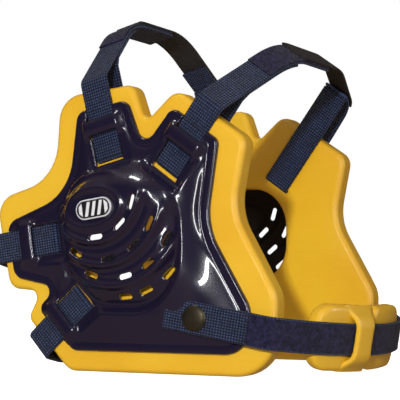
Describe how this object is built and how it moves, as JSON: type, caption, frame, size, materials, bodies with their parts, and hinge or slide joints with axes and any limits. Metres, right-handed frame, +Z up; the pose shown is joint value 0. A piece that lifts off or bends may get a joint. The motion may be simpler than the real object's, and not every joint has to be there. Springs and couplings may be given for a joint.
{
  "type": "wrestling headgear",
  "caption": "Wrestling ear guard headgear: padded ear guards with vented shells, straps over and behind the head, and a chin strap with a pad.",
  "frame": {"origin": "centre of the object's box on the table it stands on", "axes": "+X towards the wearer's face, +Y towards the wearer's left ear, +Z up"},
  "size_m": [0.2129, 0.1756, 0.1897],
  "materials": {
    "foam": "yellow vinyl-dipped foam, glossy skin",
    "shell": "navy black moulded shell, high gloss",
    "badge": "silver print on a black oval tablet",
    "webbing": "navy woven webbing with pale flecks",
    "loop": "navy brushed loop fabric",
    "hook": "black hook tape",
    "chin_fabric": "deep navy brushed loop strap",
    "snap_metal": "antique brass",
    "snap_cap": "dark bronze enamel"
  },
  "bodies": {
    "headgear": {"right_foam_pad": "foam", "left_foam_pad": "foam", "right_shell": "shell", "left_shell": "shell", "right_badge": "badge", "left_badge": "badge", "right_snap_stud": "snap_metal", "left_snap_stud": "snap_metal", "crown_webbing_right": "webbing", "crown_webbing_left": "webbing", "crown_loop_patch": "loop", "crown_hook_tape": "hook", "forehead_webbing_right": "webbing", "forehead_webbing_left": "webbing", "forehead_loop_patch": "loop", "forehead_hook_tape": "hook", "upper_back_webbing_right": "webbing", "upper_back_webbing_left": "webbing", "upper_back_loop_patch": "loop", "upper_back_hook_tape": "hook", "lower_back_webbing_right": "webbing", "lower_back_webbing_left": "webbing", "lower_back_loop_patch": "loop", "lower_back_hook_tape": "hook"},
    "chin_strap": {"chin_strap": "chin_fabric"},
    "chin_pad": {"chin_pad": "foam"},
    "right_tab": {"right_chin_tab": "webbing", "right_snap_cap": "snap_cap", "right_snap_socket": "snap_metal"},
    "left_tab": {"left_chin_tab": "webbing", "left_snap_cap": "snap_cap", "left_snap_socket": "snap_metal"},
    "crown_tip": {"crown_hook_tip": "hook"},
    "forehead_tip": {"forehead_hook_tip": "hook"},
    "upper_back_tip": {"upper_back_hook_tip": "hook"},
    "lower_back_tip": {"lower_back_hook_tip": "hook"}
  },
  "joints": [
    {"name": "chin_swing", "type": "hinge", "parent": "headgear", "child": "chin_strap", "pos_m": [0.03232, 0, 0.0284], "axis": [0, -1, 0], "range_deg": [-25, 45]},
    {"name": "chin_pad_slide", "type": "hinge", "parent": "chin_strap", "child": "chin_pad", "pos_m": [-0.01323, 0, 0.03602], "axis": [0.165, 0, 0.9863], "range_deg": [-3, 18.6]},
    {"name": "right_snap_release", "type": "hinge", "parent": "chin_strap", "child": "right_tab", "pos_m": [0.06102, -0.0791, 0.0236], "axis": [0.165, 0, 0.9863], "range_deg": [0, 70]},
    {"name": "left_snap_release", "type": "hinge", "parent": "chin_strap", "child": "left_tab", "pos_m": [0.06102, 0.0791, 0.0236], "axis": [-0.165, 0, -0.9863], "range_deg": [0, 70]},
    {"name": "crown_tip_peel", "type": "hinge", "parent": "headgear", "child": "crown_tip", "pos_m": [-0.03832, -0.0039, 0.18779], "axis": [-0.9703, 0, -0.2419], "range_deg": [0, 80]},
    {"name": "forehead_tip_peel", "type": "hinge", "parent": "headgear", "child": "forehead_tip", "pos_m": [0.06146, -0.0039, 0.16688], "axis": [-0.809, 0, 0.5878], "range_deg": [0, 80]},
    {"name": "upper_back_tip_peel", "type": "hinge", "parent": "headgear", "child": "upper_back_tip", "pos_m": [-0.1052, -0.0039, 0.06037], "axis": [0.1564, 0, -0.9877], "range_deg": [0, 80]},
    {"name": "lower_back_tip_peel", "type": "hinge", "parent": "headgear", "child": "lower_back_tip", "pos_m": [-0.06926, -0.0039, 0.00642], "axis": [0.6691, 0, -0.7431], "range_deg": [0, 80]}
  ]
}
